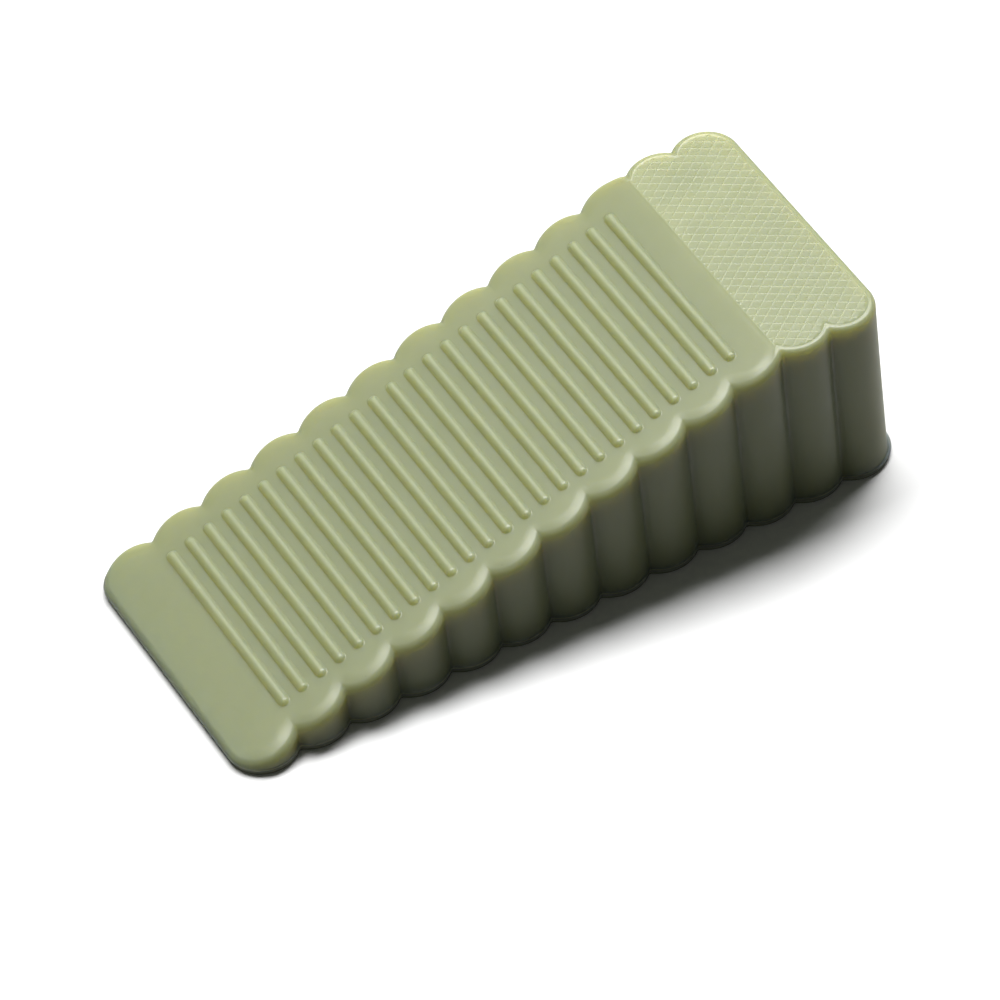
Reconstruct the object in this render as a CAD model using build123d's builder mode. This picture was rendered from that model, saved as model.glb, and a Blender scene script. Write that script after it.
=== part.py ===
"""Door wedge: a soft moulded wedge with scalloped sides, bonded to a thin anti-slip sole.

Millimetres. The origin is at the middle of the footprint, on the floor: +X runs from the thin toe
to the tall heel, +Z is up, and the wedge is the same on both sides of the XZ plane.
"""

import os
from math import cos, radians, sin, tan

from build123d import *

# Plan: two rows of round lobes, with straight edges across the toe and the heel
lobe_count = 13
lobe_pitch = 9.0
lobe_radius = 6.3
row_offset = 19.65
waist = 0.5
groove_radius = 0.4
length = (lobe_count - 1) * lobe_pitch + 2 * lobe_radius

# Side view: a slope from the toe to a level heel platform
toe_height = 1.7
slope_angle = 18.2
platform_length = 19.9
crease_radius = 5.0
rim_radius = 1.0
draft_angle = 0.6

# Lip around the foot of the heel wall
lip_depth = 0.7
lip_height = 1.4
lip_edge_radius = 0.5

# Anti-slip sole, bonded under the body and set back a little from its edge
sole_thickness = 0.8
sole_setback = 0.25

# Half-round ribs across the slope
rib_count = 25
rib_pitch = 3.625
rib_radius = 1.0
rib_height = 0.75
rib_length = 38.4
first_rib_from_toe = 12.6

# Cross-hatched tread on the platform
tread_spacing = 1.6
tread_angle = 36.2
tread_line_width = 0.35
tread_height = 0.2
tread_rim_gap = 0.1

toe_x = -length / 2
heel_x = length / 2
platform_x = heel_x - platform_length
height = toe_height + (platform_x - toe_x) * tan(radians(slope_angle))
block_top = height + rim_radius
first_lobe_x = toe_x + lobe_radius
last_lobe_x = heel_x - lobe_radius


def draft(z):
    """How far the side walls have moved in at height z."""
    return (z - sole_thickness) * tan(radians(draft_angle))


def row_y(x):
    """Distance of a lobe row from the centre line: the long sides are slightly waisted."""
    t = (x - first_lobe_x) / (last_lobe_x - first_lobe_x)
    return row_offset - waist * 4 * t * (1 - t)


def footprint(z, inset=0.0, heel_setback=0.0):
    """Scalloped outline at height z, moved in by inset all round and by heel_setback at the heel."""
    xs = [first_lobe_x + i * lobe_pitch for i in range(lobe_count)]
    row = [(x, row_y(x) - inset) for x in xs]
    row[0] = (first_lobe_x + inset, row_offset - inset)
    row[-1] = (last_lobe_x - inset - heel_setback, row_offset - inset)
    toe_edge = (row[0][0] - lobe_radius, row[0][1])
    heel_edge = (row[-1][0] + lobe_radius, row[-1][1])
    edge = [toe_edge, *row, heel_edge]
    with BuildSketch(Plane.XY.offset(z)) as plan:
        with BuildLine():
            Polyline(*[(x, -y) for x, y in edge], *reversed(edge), close=True)
        make_face()
        with Locations(*row, *[(x, -y) for x, y in row]):
            Circle(lobe_radius)
        grooves = plan.vertices().filter_by(lambda v: row[0][0] < v.X < row[-1][0])
        fillet(grooves, radius=groove_radius)
    return plan.sketch


# One rib: a round bar with ball ends, along Y
with BuildPart() as rib:
    with BuildSketch(Plane.YZ) as rib_profile:
        SlotOverall(rib_length, 2 * rib_radius)
        split(bisect_by=Plane.XZ, keep=Keep.TOP)
    revolve(axis=Axis.Y, revolution_arc=360)

# The tread: two families of fine raised lines over the platform, inside its rim
tread_x = (platform_x + heel_x - lip_depth) / 2
tread_margin = draft(height) + rim_radius + tread_rim_gap
tread_reach = 2 * (row_offset + lobe_radius) + platform_length
with BuildSketch(Plane.XY.offset(height)) as tread:
    for angle in (tread_angle, -tread_angle):
        with Locations(Location((tread_x, 0), angle)):
            with GridLocations(1, tread_spacing, 1, round(tread_reach / tread_spacing)):
                Rectangle(tread_reach, tread_line_width)
    add(footprint(0, tread_margin, lip_depth), mode=Mode.INTERSECT)
    with Locations((tread_x + tread_margin / 2, 0)):
        Rectangle(platform_length - tread_margin, tread_reach, mode=Mode.INTERSECT)

# The body: a heel lip, a drafted scalloped block cut to the side view, ribs and tread
with BuildPart() as wedge_body:
    with BuildSketch(Plane.XY.offset(sole_thickness)):
        with Locations((last_lobe_x, -row_offset), (last_lobe_x, row_offset)):
            Circle(lobe_radius)
        with Locations((last_lobe_x, 0)):
            Rectangle(2 * lobe_radius, 2 * row_offset)
    extrude(amount=lip_height)
    fillet(wedge_body.edges().group_by(Axis.Z)[-1], radius=lip_edge_radius)

    foot = footprint(sole_thickness, heel_setback=lip_depth)
    loft([foot, footprint(block_top, draft(block_top), lip_depth)], ruled=True)
    with BuildSketch(Plane.XZ) as side_view:
        with BuildLine():
            Polyline(
                (toe_x, 0),
                (heel_x, 0),
                (heel_x, height),
                (platform_x, height),
                (toe_x, toe_height),
                close=True,
            )
        make_face()
        fillet(side_view.vertices().sort_by_distance((platform_x, height))[0], radius=crease_radius)
    extrude(amount=length, both=True, mode=Mode.INTERSECT)

    top = wedge_body.faces().filter_by(lambda f: f.normal_at().Z > cos(radians(2 * slope_angle)))
    rim = top.edges().filter_by(
        lambda e: e.geom_type != GeomType.LINE or not first_lobe_x < e.center().X < last_lobe_x
    )
    fillet(rim, radius=rim_radius)

    along_slope = (cos(radians(slope_angle)), sin(radians(slope_angle)))
    for i in range(rib_count):
        distance = first_rib_from_toe + i * rib_pitch
        x = toe_x + distance * along_slope[0] + (rib_radius - rib_height) * along_slope[1]
        z = toe_height + distance * along_slope[1] - (rib_radius - rib_height) * along_slope[0]
        add(rib.part.moved(Location((x, 0, z))))
    extrude(tread.sketch, amount=tread_height)
wedge_body.part.label = "wedge_body"

# The sole: a thin sheet of the same outline, set back from the body's edge
with BuildPart() as grip_sole:
    extrude(footprint(0, inset=sole_setback), amount=sole_thickness)
grip_sole.part.label = "grip_sole"

os.makedirs("parts", exist_ok=True)
for piece in (wedge_body, grip_sole):
    export_step(piece.part, f"parts/{piece.part.label}.step")
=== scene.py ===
"""Looks of the door wedge: a moulded rubber body with ribs and tread, on a thin anti-slip sole.

Lengths in the shape functions are millimetres in the part's own frame: +X runs from the thin toe
to the tall heel, +Z is up. mesh_object() turns them into metres.
"""

from math import cos, radians, sin, tan

import bpy
import numpy as np
from mathutils import Matrix, Vector, geometry, kdtree, noise


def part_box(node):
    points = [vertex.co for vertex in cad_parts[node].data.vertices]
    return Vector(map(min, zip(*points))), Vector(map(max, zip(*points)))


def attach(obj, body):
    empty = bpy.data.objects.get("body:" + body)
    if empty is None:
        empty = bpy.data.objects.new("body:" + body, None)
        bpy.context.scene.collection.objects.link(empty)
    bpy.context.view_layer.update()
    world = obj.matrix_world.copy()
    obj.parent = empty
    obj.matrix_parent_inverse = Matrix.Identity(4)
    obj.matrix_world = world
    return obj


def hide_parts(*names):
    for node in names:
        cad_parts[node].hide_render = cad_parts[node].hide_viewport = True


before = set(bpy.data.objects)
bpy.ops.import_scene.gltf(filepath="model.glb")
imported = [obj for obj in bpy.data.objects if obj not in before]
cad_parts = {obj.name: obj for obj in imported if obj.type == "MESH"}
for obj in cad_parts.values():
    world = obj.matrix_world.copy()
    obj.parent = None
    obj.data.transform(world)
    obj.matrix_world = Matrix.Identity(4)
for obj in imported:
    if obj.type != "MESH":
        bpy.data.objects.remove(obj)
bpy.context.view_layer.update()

MM = 0.001
body_low, body_high = (np.array(corner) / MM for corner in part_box("wedge_body"))
sole_low, sole_high = (np.array(corner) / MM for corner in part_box("grip_sole"))

# Foot of the walls: a rounded edge under a fine bead, and a lip round the foot of the heel wall
foot_rounding = 0.08
foot_height = 0.2
bead_depth = 0.14
bead_height = 0.35
lip_depth = 0.7
lip_top = (1.1, 1.5)

# Plan: two rows of round lobes between a straight toe edge and a straight heel edge.
# The long sides are a little waisted, and their middle lobes drift towards the heel.
lobe_count = 13
lobe_radius = 6.3
toe_x = body_low[0]
heel_x = body_high[0]
first_lobe_x = toe_x + lobe_radius
last_lobe_x = heel_x - lobe_radius
lobe_pitch = (last_lobe_x - first_lobe_x) / (lobe_count - 1)
row_offset = body_high[1] - lobe_radius - bead_depth
waist = 0.5
drift = 0.7
groove_radius = 0.55

# Side view: a slope from the toe to a level heel platform, both a little crowned
tread_room = 0.12
crown = 0.08
crown_width = 6.0
sole_top = body_low[2]
height = body_high[2] - tread_room - crown
slope = radians(18.2)
platform_length = 19.9
platform_x = heel_x - platform_length
toe_height = height - (platform_x - toe_x) * tan(slope)
crease_length = 0.7

# Walls: they lean in towards the top, the more so near the foot
wall_inset = 0.15
heel_inset = 0.3
wall_flare = 1.6
toe_setback = 0.7
full_heel_setback = heel_inset + lip_depth + bead_depth

# Rims, as a width and a drop, and the raised line just inside the platform's rim
slope_rim = (1.0, 1.0)
platform_rim = (0.95, 0.95)
rim_share = 0.62
border_height = 0.04

# Tops of the lobes beside the slope, which fall away towards their edge
dome_width = 2.9
dome_fall = 0.55
dome_power = 1.7
dome_blend = 1.2

# Ribs across the slope
rib_count = 25
rib_pitch = 3.635 * cos(slope)
rib_radius = 1.0
rib_height = 0.6
rib_fillet = 0.3
rib_half_length = 19.2
first_rib_x = toe_x + 12.55 * cos(slope)

# Crossing lines: the platform's tread, and the hatch under the sole
tread_spacing = 1.58
tread_angle = radians(36.2)
tread_half_width = 0.12
tread_height = 0.042
# Painted highlight: how much paler the tread lines, the line where the tread starts and the
# platform's glint patches are painted
tread_highlight_paint = 0.08
hatch_depth = 0.3
sole_setback = 0.12

# Points along each straight end of an outline
body_edge_count = 70
sole_edge_count = 220


# ---------------------------------------------------------------- small maths

def smooth(low, high, value):
    """0 below low, 1 above high, with a soft change between them."""
    t = np.clip((value - low) / (high - low), 0.0, 1.0)
    return t * t * (3.0 - 2.0 * t)


def soft_max(a, b, width):
    """The larger of a and b, with the corner where they cross rounded over width."""
    return np.maximum(a, b) + np.maximum(width - np.abs(a - b), 0.0) ** 2 / (4.0 * width)


def wave(points, scale, seed):
    """Smooth noise from -1 to 1 at 2-D points; scale is the size of its features."""
    return np.array([noise.noise((x / scale, y / scale, seed)) for x, y in points])


def blend(table, keys, wanted):
    """Each column of a table of points, interpolated at its own wanted key."""
    upper = np.clip(np.searchsorted(keys, wanted), 1, len(keys) - 1)
    mix = np.clip((wanted - keys[upper - 1]) / (keys[upper] - keys[upper - 1]), 0, 1)[:, None]
    column = np.arange(table.shape[1])
    return table[upper - 1, column] * (1 - mix) + table[upper, column] * mix


# ---------------------------------------------------------------- outline

def arc(centre, radius, start, end, count, concave=False):
    """Points and outward normals of an arc; its normals turn from angle start to angle end."""
    angles = np.linspace(start, end, count)
    normals = np.stack([np.cos(angles), np.sin(angles)], axis=1)
    return centre + normals * (-radius if concave else radius), normals


def lobe_centres():
    """Centres of one row of lobes: a little waisted, and closer together towards the heel."""
    t = np.linspace(0.0, 1.0, lobe_count)
    bulge = 4.0 * t * (1.0 - t)
    xs = first_lobe_x + t * (last_lobe_x - first_lobe_x) + drift * bulge
    return xs, row_offset - waist * bulge


def outline(inset, toe_setback, heel_setback, edge_count, shrink=0.0):
    """The scalloped outline, anticlockwise from the toe's right end: points and outward normals.

    A setback moves a straight end in and makes its corner lobes smaller by half as much.
    Shrink makes every lobe smaller about its own centre, so the valleys between them deepen,
    and a large shrink rounds them."""
    valley = groove_radius * (1.0 - 0.7 * min(shrink, 1.0)) + 0.6 * max(shrink - 1.0, 0.0)
    xs, ys = lobe_centres()
    radii = np.full(lobe_count, lobe_radius - shrink)
    for corner, setback, inward in ((0, toe_setback, 0.5), (-1, heel_setback, -0.5)):
        xs[corner] += setback * inward
        ys[corner] += setback * 0.5
        radii[corner] -= setback * 0.5
    centres = np.stack([xs, inset - ys], axis=1)

    points, normals = [], []
    start = np.pi
    for i in range(lobe_count - 1):
        here, after = centres[i], centres[i + 1]
        step = after - here
        gap = np.hypot(*step)
        out = np.array([step[1], -step[0]]) / gap
        reach, reach_after = radii[i] + valley, radii[i + 1] + valley
        along = (reach**2 - reach_after**2 + gap**2) / (2 * gap)
        groove = here + step / gap * along + out * np.sqrt(reach**2 - along**2)
        leave = np.arctan2(*(groove - here)[::-1]) % (2 * np.pi)
        enter = np.arctan2(*(groove - after)[::-1]) % (2 * np.pi)
        lobe = arc(here, radii[i], start, leave, 40 if i == 0 else 25)
        dip = arc(groove, valley, leave, enter, 7, concave=True)
        points += [lobe[0], dip[0][1:-1]]
        normals += [lobe[1], dip[1][1:-1]]
        start = enter
    last = arc(centres[-1], radii[-1], start, 2 * np.pi, 40)
    near = np.concatenate([*points, last[0]])
    near_normals = np.concatenate([*normals, last[1]])

    flip = np.array([1.0, -1.0])
    across = np.linspace(-1.0, 1.0, edge_count + 2)[1:-1]
    heel = np.stack([np.full(edge_count, near[-1, 0]), -across * near[-1, 1]], axis=1)
    toe = np.stack([np.full(edge_count, near[0, 0]), across * near[0, 1]], axis=1)
    loop = np.concatenate([near, heel, near[::-1] * flip, toe])
    heel_normals = np.tile([1.0, 0.0], (edge_count, 1))
    loop_normals = np.concatenate(
        [near_normals, heel_normals, near_normals[::-1] * flip, -heel_normals]
    )
    return loop, loop_normals


def wall(z):
    """The body's outline at height z: drafted walls that flare at the foot, and the heel's lip."""
    rise = np.clip((z - sole_top) / (height - sole_top), 0.0, 1.0)
    lean = 1.0 - (1.0 - rise) ** wall_flare
    heel_setback = heel_inset * lean + lip_depth * smooth(*lip_top, z) + bead_depth
    return outline(wall_inset * lean, toe_setback, heel_setback, body_edge_count)


def foot_offset(z):
    """How far the wall stands out from the outline at height z: a bead over a rounded foot."""
    above = np.clip(z - sole_top, 0.0, None)
    rounded = foot_rounding * (1.0 - smooth(0.0, foot_height, above))
    bead = bead_depth * smooth(foot_height, 0.3, above) * (1.0 - smooth(0.4, 0.6, above))
    return bead - rounded


# ---------------------------------------------------------------- top surface

def top_z(x):
    """Height of the plain top surface: the slope, a soft crease, and the platform."""
    ramp = toe_height + (x - toe_x) * tan(slope)
    return height - soft_max(height - ramp, 0.0, crease_length * tan(slope))


def top_tilt(x):
    """Angle of the top surface at x, from level."""
    step = 0.01
    return np.arctan((top_z(x + step) - top_z(x - step)) / (2 * step))


def dome(x, y):
    """How far the tops of the lobes beside the slope fall away, the more the nearer their edge."""
    xs, ys = lobe_centres()
    nearest = np.abs(x[:, None] - xs).argmin(axis=1)
    beyond = np.abs(y) - np.interp(x, xs, ys)
    in_lobe = lobe_radius - np.hypot(x - xs[nearest], np.maximum(beyond, 0.0))
    in_core = np.sqrt(lobe_radius**2 - (lobe_pitch / 2) ** 2) - beyond
    depth = soft_max(in_lobe, in_core, dome_blend)
    fall = dome_fall * np.clip(1.0 - depth / dome_width, 0.0, 1.0) ** dome_power
    return fall * (1.0 - smooth(platform_x - 2.5, platform_x + 0.5, x))


def level(x, y):
    """Height of the top without its ribs, crown and tread."""
    return top_z(x) - dome(x, y)


def ribs(x, y):
    """Height of the ribs above the slope: round bars with ball ends."""
    place = np.clip(np.round((x - first_rib_x) / rib_pitch), 0, rib_count - 1)
    along = (x - first_rib_x - place * rib_pitch) / cos(slope)
    beyond = np.maximum(np.abs(y) - (rib_half_length - rib_radius), 0.0)
    distance = np.hypot(along, beyond)
    bar = np.sqrt(np.maximum(rib_radius**2 - distance**2, 0.0)) - (rib_radius - rib_height)
    return soft_max(bar, 0.0, rib_fillet)


def tread(x, y):
    """Two crossing families of raised lines, 0 between them and 1 on their tops."""
    highest = np.zeros_like(x)
    for side in (-1.0, 1.0):
        across = x * sin(tread_angle) + side * y * cos(tread_angle)
        distance = np.abs((across + tread_spacing / 2) % tread_spacing - tread_spacing / 2)
        line = 1.0 - smooth(tread_half_width * 0.35, tread_half_width, distance)
        highest = np.maximum(highest, line)
    return highest


# ---------------------------------------------------------------- points and triangles

def rib_columns():
    """Places along X that follow each rib's round section."""
    half = np.array([0.0, 0.2, 0.4, 0.58, 0.73, 0.84, 0.91, 0.96, 1.01, 1.08, 1.2, 1.5])
    section = np.concatenate([-half[:0:-1], half]) * cos(slope)
    places = first_rib_x + np.arange(rib_count) * rib_pitch
    between = places[:-1] + rib_pitch / 2
    return np.sort(np.concatenate([(places[:, None] + section).ravel(), between]))


def slope_points(low_x, high_x, half_width):
    """Grid for the slope: fine across the ribs and round their ends."""
    ribbed = rib_columns()
    before = np.arange(low_x, ribbed[0] - 0.4, 0.6)
    after = np.arange(ribbed[-1] + 0.4, high_x, 0.4)
    columns = np.concatenate([before, ribbed, after])
    end = rib_half_length
    side = np.concatenate(
        [
            np.linspace(0.0, end - 1.3, 28),
            np.linspace(end - 1.15, end + 0.15, 12),
            np.arange(end + 0.4, half_width, 0.45),
        ]
    )
    rows = np.concatenate([-side[:0:-1], side])
    x, y = np.meshgrid(columns, rows)
    return np.stack([x.ravel(), y.ravel()], axis=1)


def tread_points(low, high, section):
    """Points of a lattice that follows the crossing lines, inside a box."""
    reach = np.abs([*low, *high]).max() * 2.0
    count = int(reach / tread_spacing)
    lines = (np.arange(-count, count + 1)[:, None] * tread_spacing + np.array(section)).ravel()
    p, q = (grid.ravel() for grid in np.meshgrid(lines, lines))
    x = (p + q) / (2 * sin(tread_angle))
    y = (q - p) / (2 * cos(tread_angle))
    inside = (x > low[0]) & (x < high[0]) & (y > low[1]) & (y < high[1])
    return np.stack([x[inside], y[inside]], axis=1)


def fill(ring, candidates, clearance):
    """Triangles that fill a closed ring through the candidate points that lie clear of it.

    Returns the points (the ring first), the triangles and each point's distance from the ring."""
    tree = kdtree.KDTree(len(ring))
    for i, (x, y) in enumerate(ring):
        tree.insert((x, y, 0.0), i)
    tree.balance()
    gap = np.array([tree.find((x, y, 0.0))[2] for x, y in candidates])
    inner = candidates[gap > clearance]
    gap = gap[gap > clearance]
    count = len(ring)
    verts = [Vector(p) for p in np.concatenate([ring, inner])]
    found = geometry.delaunay_2d_cdt(verts, [], [list(range(count))], 1, 1e-6)
    used = [ids[0] for ids in found[3]]
    triangles = [[used[i] for i in face] for face in found[2]]
    kept = sorted({i for face in triangles for i in face} | set(range(count)))
    place = {old: new for new, old in enumerate(kept)}
    triangles = [[place[i] for i in face] for face in triangles]
    points = np.concatenate([ring, inner])[kept]
    distance = np.concatenate([np.zeros(count), gap])[kept]
    return points, triangles, distance


def band(rings, count):
    """Quads between successive closed rings of count points each."""
    faces = []
    for low in range(0, (rings - 1) * count, count):
        for i in range(count):
            j = (i + 1) % count
            faces.append((low + i, low + j, low + count + j, low + count + i))
    return faces


# ---------------------------------------------------------------- meshes

def mesh_object(name, verts, faces):
    """A smooth-shaded object from points in millimetres."""
    mesh = bpy.data.meshes.new(name)
    mesh.from_pydata((np.asarray(verts) * MM).tolist(), [], faces)
    mesh.validate()
    mesh.shade_smooth()
    piece = bpy.data.objects.new(name, mesh)
    bpy.context.scene.collection.objects.link(piece)
    return piece


def wall_rings(points, normals, levels, wall_top):
    """Closed rings up the wall to its top, close together at the foot."""
    foot = np.array([0.0, 0.06, 0.12, 0.2, 0.26, 0.32, 0.4, 0.48, 0.56, 0.66, 0.8, 1.0, 1.2])
    shares = np.concatenate([foot / (height - sole_top), np.linspace(0.05, 1.0, 26)])
    rings = []
    for share in shares:
        z = sole_top + (wall_top - sole_top) * share
        flat = blend(points, levels, z) + blend(normals, levels, z) * foot_offset(z)[:, None]
        rings.append(np.column_stack([flat, z]))
    return rings


def rim_rings(base, width, drop, on_slope):
    """Closed rings over the rolled rim, then over the platform's raised border line."""
    shrinks = np.linspace(0.0, slope_rim[0] + 0.3, 18)
    inward = np.stack(
        [
            outline(wall_inset, toe_setback, full_heel_setback, body_edge_count, shrink)[0]
            for shrink in shrinks
        ]
    )
    inward = inward - inward[0]
    rings = []
    for turn in np.radians(np.linspace(0.0, 90.0, 13))[1:]:
        flat = base + blend(inward, shrinks, width * (1 - cos(turn)))
        rings.append(np.column_stack([flat, level(*flat.T) - drop * (1 - sin(turn))]))
    for step, lift in ((0.06, 0.0), (0.12, 1.0), (0.2, 1.0), (0.28, 0.0)):
        flat = base + blend(inward, shrinks, width + step)
        z = level(*flat.T) + lift * border_height * (1.0 - on_slope)
        rings.append(np.column_stack([flat, z]))
    return rings


def top_sheet(ring):
    """The ribbed and treaded top inside a closed ring.

    Returns its points (the ring first), the triangles and how much painted highlight the rubber
    carries at each point: on the tread lines, the line where the tread starts, and the platform's
    glint patches."""
    edge_steps = np.array([0.0, 0.06, 0.14, 0.22])
    edge_lift = np.array([0.0, 0.6, 0.6, 0.0])
    section = (-0.18, -0.13, -0.08, -0.04, 0.0, 0.04, 0.08, 0.13, 0.18, 0.8)
    low, high = ring.min(axis=0), ring.max(axis=0)
    tread_low = np.array([platform_x + 0.32, low[1]])
    edge_x, edge_y = np.meshgrid(platform_x + edge_steps, np.arange(low[1], high[1], 0.3))
    candidates = np.concatenate(
        [
            slope_points(low[0] + 0.3, platform_x - 0.1, high[1]),
            np.column_stack([edge_x.ravel(), edge_y.ravel()]),
            tread_points(tread_low, high, section),
        ]
    )
    top, triangles, distance = fill(ring, candidates, 0.16)
    x, y = top.T
    edge_line = np.interp(x - platform_x, edge_steps, edge_lift)
    lines = np.where(x > tread_low[0], tread(x, y), edge_line)
    uneven_crown = crown * (0.6 + 0.4 * wave(top, 9.0, 3.0))
    raised = ribs(x, y) * (x < platform_x - 1.0)
    raised = raised + tread_height * lines
    raised = raised + smooth(0.0, crown_width, distance) * uneven_crown
    tilt = top_tilt(x)
    z = level(x, y) + raised * np.cos(tilt)
    surface = np.column_stack([x - raised * np.sin(tilt), y, z])
    # Painted glint: soft pale patches on the platform, stronger towards its far side, painted where
    # the key light's reflection falls
    painted_glint_patches = smooth(0.0, 0.8, wave(top, 7.0, 5.0) + y / high[1]) * (x > platform_x)
    return surface, triangles, tread_highlight_paint * (lines + painted_glint_patches * (1.0 - lines))


def body_mesh():
    """The moulded body: flared scalloped walls, a rolled rim, ribs on the slope, platform tread."""
    levels = np.concatenate([np.linspace(sole_top, 2.6, 37), np.linspace(2.9, height, 40)])
    points, normals = (np.stack(part) for part in zip(*[wall(z) for z in levels]))
    count = points.shape[1]

    crest = np.full(count, height)
    for _ in range(4):
        crest = level(*blend(points, levels, crest).T)
    crest_x = blend(points, levels, crest)[:, 0]
    on_slope = 1.0 - smooth(platform_x - 1.5, platform_x + 1.5, crest_x)
    rim_width, rim_drop = (
        flat + (steep - flat) * on_slope for flat, steep in zip(platform_rim, slope_rim)
    )
    rim_drop = np.minimum(rim_drop, rim_share * (crest - sole_top))

    wall_top = crest - rim_drop
    rings = wall_rings(points, normals, levels, wall_top)
    rings += rim_rings(blend(points, levels, wall_top), rim_width, rim_drop, on_slope)
    surface, triangles, top_painted_highlight = top_sheet(rings[-1][:, :2])

    first = (len(rings) - 1) * count
    verts = np.concatenate([*rings, surface[count:]])
    faces = band(len(rings), count)
    faces += [tuple(first + i for i in face) for face in triangles]
    faces.append(tuple(range(count))[::-1])
    piece = mesh_object("rubber_body", verts, faces)
    # Painted highlight: a pale line painted along the bead near the foot of the wall, standing in
    # for the light the bead catches; the top carries its own painted highlights
    painted_highlight = np.exp(-(((verts[:, 2] - sole_top - bead_height) / 0.15) ** 2))
    painted_highlight[first + count :] = top_painted_highlight[count:]
    piece.data.attributes.new("painted_highlight", "FLOAT", "POINT").data.foreach_set("value", painted_highlight)
    return piece


def sole_mesh():
    """The anti-slip sole: a thin sheet with the crossing lines moulded into its underside."""
    points, normals = outline(
        sole_setback, toe_setback + sole_setback, bead_depth + sole_setback, sole_edge_count
    )
    count = len(points)
    section = (-0.24, -0.08, 0.08, 0.24, 0.875)
    inner = points - normals * 0.15
    low, high = inner.min(axis=0), inner.max(axis=0)
    under, triangles, distance = fill(inner, tread_points(low, high, section), 0.14)
    relief = hatch_depth * (1.0 - tread(*under.T)) * smooth(0.4, 1.0, distance)
    bottom = np.column_stack([under, sole_low[2] + relief])
    edge = bottom[:count].copy()
    edge[:, :2] = points
    edge[:, 2] += 0.05
    upper = np.column_stack([points, np.full(count, sole_high[2])])
    verts = np.concatenate([upper, edge, bottom])
    faces = [face[::-1] for face in band(3, count)]
    faces += [tuple(2 * count + i for i in face)[::-1] for face in triangles]
    faces.append(tuple(range(count)))
    return mesh_object("sole_sheet", verts, faces)


# ---------------------------------------------------------------- materials

def node(tree, kind, inputs, **settings):
    """One shader node, with its settings and its input values or links."""
    made = tree.nodes.new(kind)
    for key, value in settings.items():
        setattr(made, key, value)
    for key, value in inputs.items():
        if isinstance(value, bpy.types.NodeSocket):
            tree.links.new(value, made.inputs[key])
        else:
            made.inputs[key].default_value = value
    return made


def mix(tree, factor, first, second):
    """Output of a mix from the first colour, at factor 0, to the second."""
    inputs = {"Factor": factor, "A": first, "B": second}
    return node(tree, "ShaderNodeMix", inputs, data_type="RGBA").outputs["Result"]


def grain(tree, scale, detail):
    """Output of a noise over the piece's own coordinates."""
    where = node(tree, "ShaderNodeTexCoord", {}).outputs["Object"]
    inputs = {"Vector": where, "Scale": scale, "Detail": detail}
    return node(tree, "ShaderNodeTexNoise", inputs).outputs["Fac"]


def fresh_material(name):
    """A node material with only its Principled shader and output: the material, tree and shader."""
    made = bpy.data.materials.new(name)
    made.use_nodes = True
    tree = made.node_tree
    return made, tree, tree.nodes["Principled BSDF"]


def body_rubber():
    """Satin sage-green rubber: faint mottling, fine grain and shallow dents, with painted
    highlights on fine lines and painted glint patches on the platform.
    """
    made, tree, shader = fresh_material("body_rubber")
    mottling = grain(tree, 60.0, 4.0)
    green = mix(tree, mottling, (0.300, 0.329, 0.182, 1.0), (0.308, 0.337, 0.190, 1.0))
    painted_highlight = node(tree, "ShaderNodeAttribute", {}, attribute_name="painted_highlight").outputs["Fac"]
    # Painted highlight: the rubber turns paler where the mesh marks a painted highlight or a
    # painted glint
    tint = mix(tree, painted_highlight, green, (0.66, 0.68, 0.36, 1.0))
    fine = node(
        tree,
        "ShaderNodeBump",
        {"Height": grain(tree, 3200.0, 3.0), "Strength": 0.25, "Distance": 0.00002},
    )
    dents = grain(tree, 420.0, 2.0)
    broad = node(
        tree,
        "ShaderNodeBump",
        {
            "Height": dents,
            "Strength": 0.3,
            "Distance": 0.00005,
            "Normal": fine.outputs["Normal"],
        },
    )
    gloss = node(
        tree,
        "ShaderNodeMapRange",
        {"Value": dents, "From Min": 0.3, "From Max": 0.7, "To Min": 0.3, "To Max": 0.36},
    )
    tree.links.new(tint, shader.inputs["Base Color"])
    tree.links.new(gloss.outputs["Result"], shader.inputs["Roughness"])
    tree.links.new(broad.outputs["Normal"], shader.inputs["Normal"])
    shader.inputs["Subsurface Weight"].default_value = 1.0
    shader.inputs["Subsurface Radius"].default_value = (1.0, 0.82, 0.36)
    shader.inputs["Subsurface Scale"].default_value = 0.012
    shader.inputs["IOR"].default_value = 1.46
    return made


def sole_rubber():
    """Matt rubber with a rough grain."""
    made, tree, shader = fresh_material("sole_rubber")
    rough = grain(tree, 900.0, 5.0)
    tint = mix(tree, rough, (0.34, 0.36, 0.25, 1.0), (0.46, 0.48, 0.35, 1.0))
    bump = node(tree, "ShaderNodeBump", {"Height": rough, "Strength": 0.6, "Distance": 0.0001})
    tree.links.new(tint, shader.inputs["Base Color"])
    tree.links.new(bump.outputs["Normal"], shader.inputs["Normal"])
    shader.inputs["Roughness"].default_value = 0.7
    return made


# ---------------------------------------------------------------- studio

def studio_floor():
    """A plain floor that catches the shadow: white to the camera, duller to every other ray."""
    half = 3.0
    corners = [(-half, -half, 0), (half, -half, 0), (half, half, 0), (-half, half, 0)]
    mesh = bpy.data.meshes.new("floor")
    mesh.from_pydata(corners, [], [(0, 1, 2, 3)])
    floor = bpy.data.objects.new("floor", mesh)
    bpy.context.scene.collection.objects.link(floor)
    made, tree, shader = fresh_material("floor_paper")
    ray = node(tree, "ShaderNodeLightPath", {}).outputs
    dull = node(
        tree,
        "ShaderNodeMapRange",
        {"Value": ray["Is Diffuse Ray"], "To Min": 0.48, "To Max": 0.21},
    )
    white = (0.95, 0.95, 0.95, 1.0)
    paper = mix(tree, ray["Is Camera Ray"], dull.outputs["Result"], white)
    tree.links.new(paper, shader.inputs["Base Color"])
    shader.inputs["Roughness"].default_value = 1.0
    shader.inputs["Specular IOR Level"].default_value = 0.0
    mesh.materials.append(made)


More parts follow.
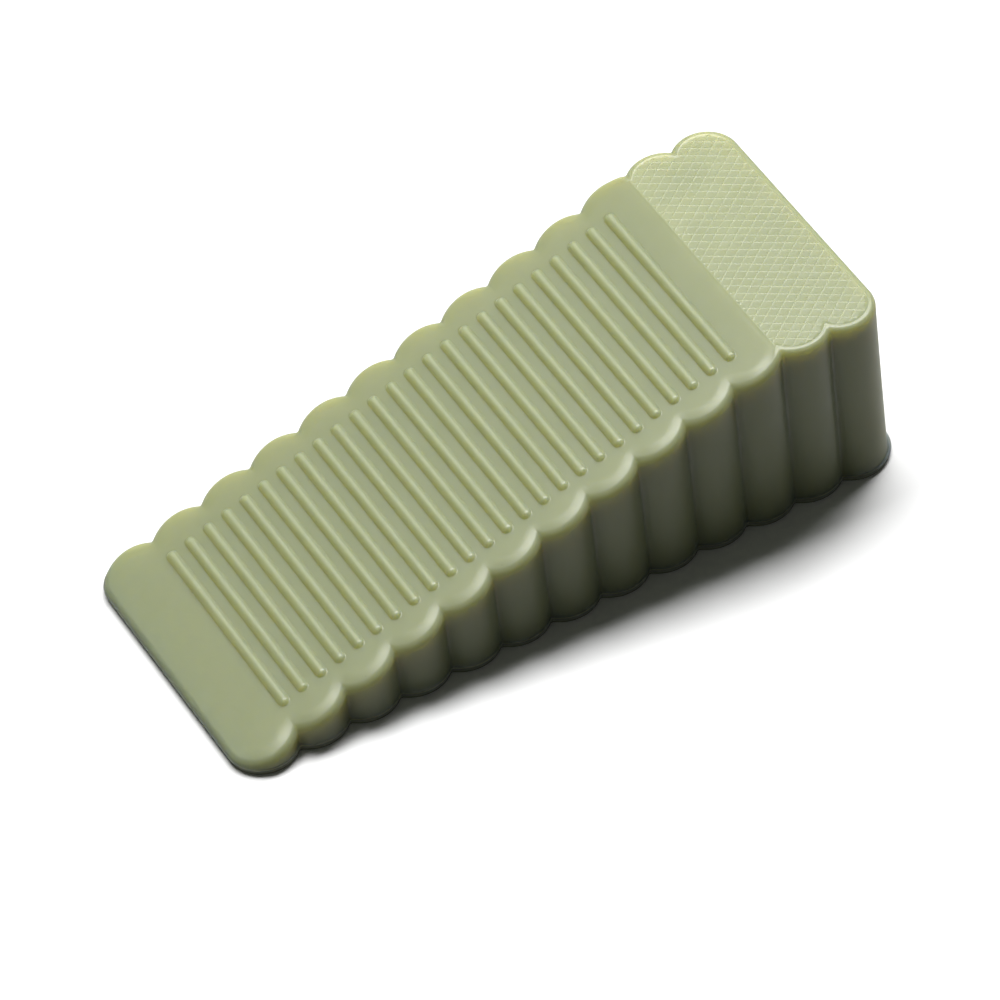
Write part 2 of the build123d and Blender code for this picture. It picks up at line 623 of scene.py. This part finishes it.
def softbox(name, direction, distance, width, depth, power):
    """A rectangular soft light that faces the part from a direction, its width along X."""
    light = bpy.data.lights.new(name, "AREA")
    light.shape = "RECTANGLE"
    light.size = width
    light.size_y = depth
    light.energy = power
    lamp = bpy.data.objects.new(name, light)
    toward = Vector(direction).normalized()
    across = Vector((1.0, 0.0, 0.0)) - toward * toward.x
    turn = Matrix((across.normalized(), toward.cross(across).normalized(), toward)).transposed()
    lamp.matrix_world = Matrix.Translation(toward * distance) @ turn.to_4x4()
    bpy.context.scene.collection.objects.link(lamp)


def studio_light():
    """A large soft key high behind the far side, a faint light behind the heel, an even fill."""
    softbox("key", (0.26, 0.35, 1.0), 1.4, 1.5, 0.51, 34.8)
    softbox("edge", (0.34, 0.66, 0.68), 1.1, 0.14, 0.12, 0.14)
    world = bpy.data.worlds.new("fill")
    world.use_nodes = True
    tree = world.node_tree
    camera_ray = node(tree, "ShaderNodeLightPath", {}).outputs["Is Camera Ray"]
    shade = mix(tree, camera_ray, (0.047, 0.049, 0.045, 1.0), (0.9, 0.9, 0.9, 1.0))
    tree.links.new(shade, tree.nodes["Background"].inputs["Color"])
    bpy.context.scene.world = world


def camera():
    """A long lens above the near side, turned a little about its own axis."""
    azimuth, elevation, roll = radians(-24.691), radians(47.478), radians(-7.435)
    distance = 1.12353
    aim = Vector((0.0, 0.0, 0.0135))
    off_centre = (-0.001537, 0.005808)
    back = Vector((sin(azimuth) * cos(elevation), -cos(azimuth) * cos(elevation), sin(elevation)))
    level_right = Vector((cos(azimuth), sin(azimuth), 0.0))
    upward = back.cross(level_right)
    right = level_right * cos(roll) + upward * sin(roll)
    up = upward * cos(roll) - level_right * sin(roll)
    data = bpy.data.cameras.new("camera")
    data.sensor_width = 36.0
    data.lens = 257.46
    data.clip_start = 0.05
    data.clip_end = 20.0
    made = bpy.data.objects.new("camera", data)
    spot = aim + back * distance - right * off_centre[0] - up * off_centre[1]
    turn = Matrix((right, up, back)).transposed()
    made.matrix_world = Matrix.Translation(spot) @ turn.to_4x4()
    bpy.context.scene.collection.objects.link(made)
    bpy.context.scene.camera = made


# ---------------------------------------------------------------- the part

def finish_piece(piece, material, cad_node):
    """Gives a piece its material, hangs it under the root body and hides the CAD node it replaces.
    """
    piece.data.materials.append(material)
    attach(piece, "root")
    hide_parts(cad_node)


finish_piece(body_mesh(), body_rubber(), "wedge_body")
finish_piece(sole_mesh(), sole_rubber(), "grip_sole")
studio_floor()
studio_light()
camera()
bpy.context.scene.view_settings.view_transform = "Standard"
